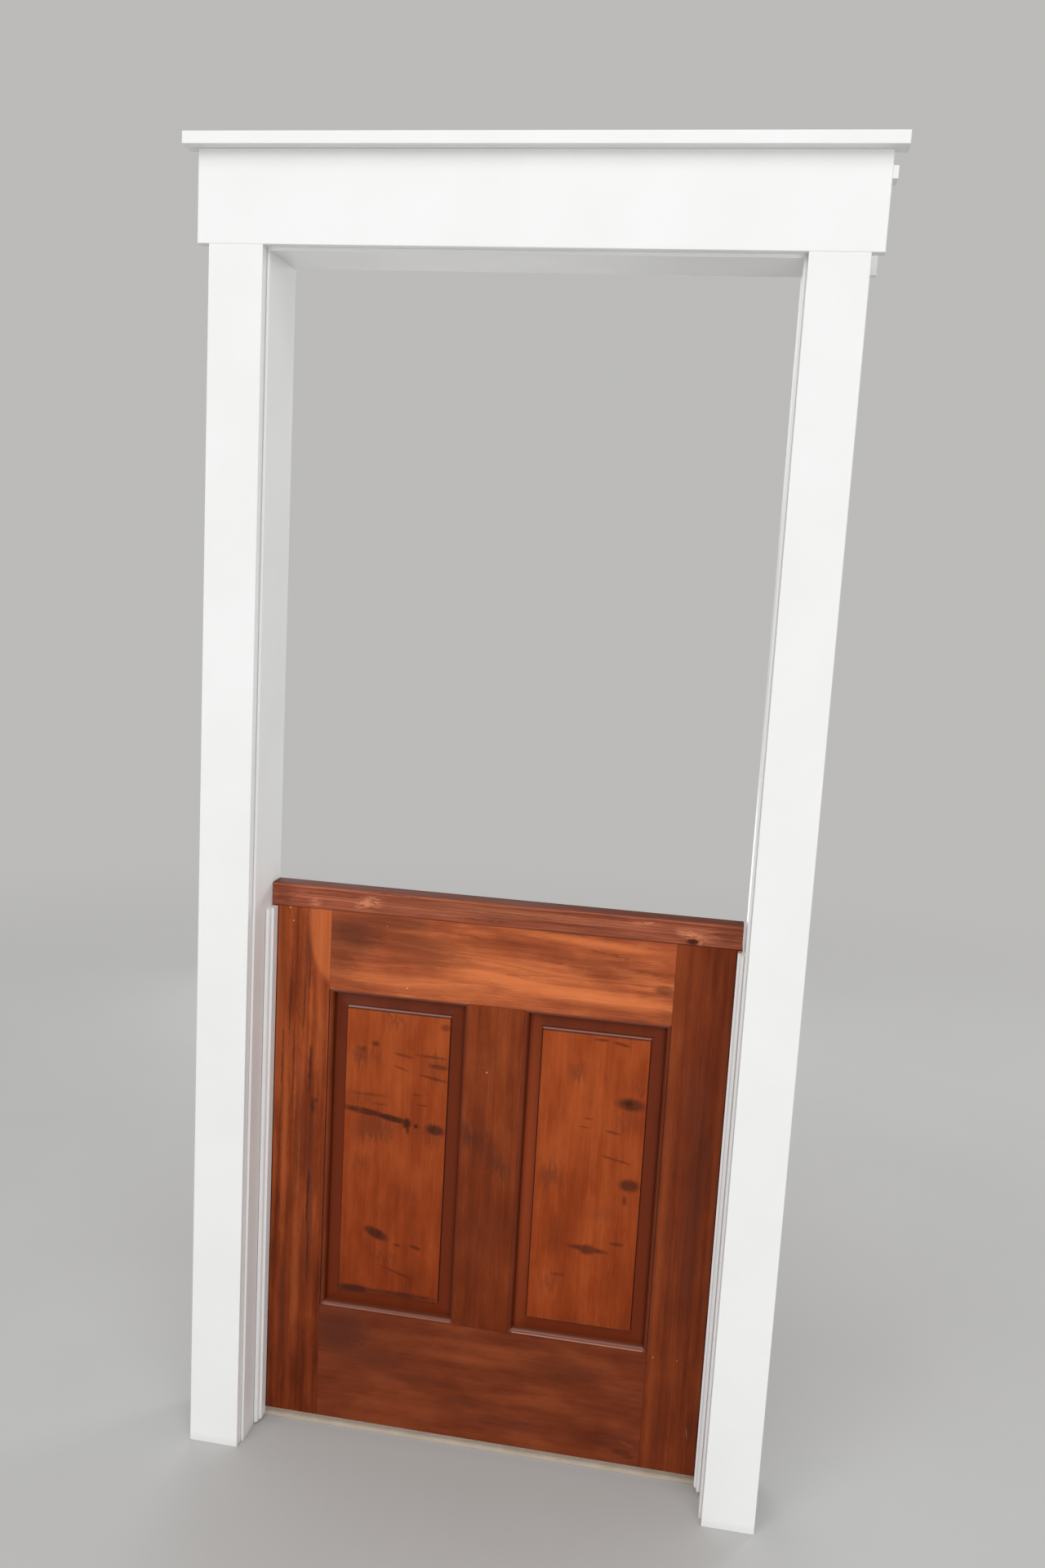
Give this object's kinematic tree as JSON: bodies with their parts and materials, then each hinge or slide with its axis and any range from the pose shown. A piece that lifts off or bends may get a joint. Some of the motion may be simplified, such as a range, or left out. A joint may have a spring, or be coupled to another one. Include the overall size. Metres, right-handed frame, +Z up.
{
  "type": "dutch stable door",
  "caption": "Half-height panelled stable door leaf in stained pine with a cap rail, hung in a white painted door frame with flat casings and a capped head.",
  "frame": {"origin": "on the floor, in the middle of the doorway's width and of the wall's thickness", "axes": "+X to the right seen from the side the leaf shuts against, +Y through the doorway towards the side the leaf opens to, +Z up"},
  "size_m": [1.083, 0.192, 2.214],
  "materials": {
    "white_paint": "semi-gloss white paint on wood trim",
    "stained_pine": "red-brown stained and varnished pine, semi-gloss",
    "stained_cap": "red-brown stained softwood with coarse grain, satin",
    "dowel_wood": "bare beech",
    "pale_strip": "pale grey-cream floor strip",
    "hinge_steel": "satin nickel plated steel",
    "bolt_steel": "bright zinc plated steel"
  },
  "bodies": {
    "frame": {"left_jamb": "white_paint", "right_jamb": "white_paint", "head_jamb": "white_paint", "front_left_casing": "white_paint", "front_right_casing": "white_paint", "front_head_casing": "white_paint", "front_head_cap": "white_paint", "rear_left_casing": "white_paint", "rear_right_casing": "white_paint", "rear_head_casing": "white_paint", "rear_head_cap": "white_paint", "left_stop": "white_paint", "right_stop": "white_paint", "threshold_strip": "pale_strip", "bolt_keeper": "bolt_steel", "keeper_screws": "bolt_steel", "hinge_frame_screws": "hinge_steel", "lower_hinge_frame_plate": "hinge_steel", "upper_hinge_frame_plate": "hinge_steel", "lower_hinge_pin": "hinge_steel", "upper_hinge_pin": "hinge_steel"},
    "leaf": {"hinge_stile": "stained_pine", "lock_stile": "stained_pine", "top_rail": "stained_pine", "bottom_rail": "stained_pine", "muntin": "stained_pine", "left_panel": "stained_pine", "right_panel": "stained_pine", "cap_rail": "stained_cap", "rail_dowels": "dowel_wood", "cap_dowels": "dowel_wood", "hinge_leaf_screws": "hinge_steel", "lower_hinge_leaf_plate": "hinge_steel", "upper_hinge_leaf_plate": "hinge_steel", "bolt_plate": "bolt_steel", "bolt_plate_screws": "bolt_steel"},
    "bolt": {"bolt_bar": "bolt_steel", "bolt_knob": "bolt_steel"}
  },
  "joints": [
    {"name": "leaf_swing", "type": "hinge", "parent": "frame", "child": "leaf", "pos_m": [-0.40825, 0.066, 0.5], "axis": [0, 0, 1], "range_deg": [0, 150]},
    {"name": "bolt_slide", "type": "slide", "parent": "leaf", "child": "bolt", "axis": [1, 0, 0], "range_m": [0, 0.02]}
  ]
}
